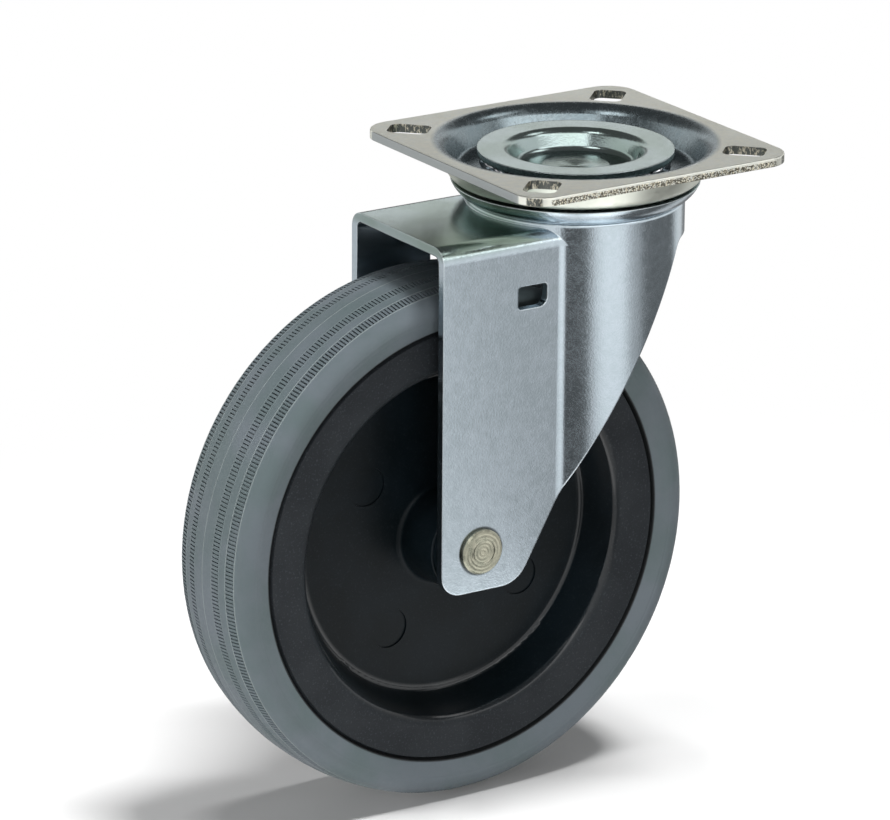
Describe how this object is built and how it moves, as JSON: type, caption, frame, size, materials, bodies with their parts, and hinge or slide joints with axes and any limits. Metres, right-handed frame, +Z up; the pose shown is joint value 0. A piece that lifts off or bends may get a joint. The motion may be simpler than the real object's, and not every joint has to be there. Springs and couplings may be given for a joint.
{
  "type": "swivel castor",
  "caption": "Top-plate swivel castor: a pressed fork turns on ball races under a slotted plate and carries a grey rubber tyre on a black recessed wheel centre.",
  "frame": {"origin": "the swivel axis at the top plate's upper face", "axes": "+Z up, out of the top plate's upper face; +X forward, away from the trailing wheel; Y along the wheel's axle"},
  "size_m": [0.1751, 0.093, 0.1918],
  "materials": {
    "zinc_plate": "zinc-plated, satin",
    "zinc_fork": "zinc-plated, semi-bright",
    "zinc_axle": "zinc-plated, turned",
    "hard_steel": "ground and polished",
    "black_plastic": "fine-grained moulding",
    "cage_plastic": "natural moulding",
    "grey_rubber": "matt, moulded"
  },
  "bodies": {
    "plate": {"top_plate": "zinc_plate"},
    "swivel_fork": {"fork": "zinc_fork", "upper_cup": "zinc_fork", "lower_cup": "zinc_fork", "king_pin": "zinc_fork", "spacer_ring": "zinc_fork", "axle": "zinc_axle", "bearing_sleeve": "hard_steel"},
    "upper_ball_row": {"upper_balls": "hard_steel"},
    "lower_ball_row": {"lower_balls": "hard_steel"},
    "wheel": {"wheel_centre": "black_plastic", "tyre": "grey_rubber", "bearing_shell": "hard_steel", "near_end_cap": "black_plastic", "far_end_cap": "black_plastic"},
    "roller_set": {"roller_cage": "cage_plastic", "rollers": "hard_steel"}
  },
  "joints": [
    {"name": "swivel", "type": "hinge", "parent": "plate", "child": "swivel_fork", "pos_m": [0, 0, 0], "axis": [0, 0, 1], "continuous": true},
    {"name": "upper_row_turn", "type": "hinge", "parent": "plate", "child": "upper_ball_row", "pos_m": [0, 0, 0], "axis": [0, 0, 1], "continuous": true},
    {"name": "lower_row_turn", "type": "hinge", "parent": "plate", "child": "lower_ball_row", "pos_m": [0, 0, 0], "axis": [0, 0, 1], "continuous": true},
    {"name": "wheel_spin", "type": "hinge", "parent": "swivel_fork", "child": "wheel", "pos_m": [-0.0486, 0, -0.1118], "axis": [0, 1, 0], "continuous": true},
    {"name": "roller_turn", "type": "hinge", "parent": "swivel_fork", "child": "roller_set", "pos_m": [-0.0486, 0, -0.1118], "axis": [0, 1, 0], "continuous": true}
  ],
  "couplings": [
    {"joint": "upper_row_turn", "follows": "swivel", "ratio": 0.5},
    {"joint": "lower_row_turn", "follows": "swivel", "ratio": 0.5},
    {"joint": "roller_turn", "follows": "wheel_spin", "ratio": 0.5946}
  ]
}
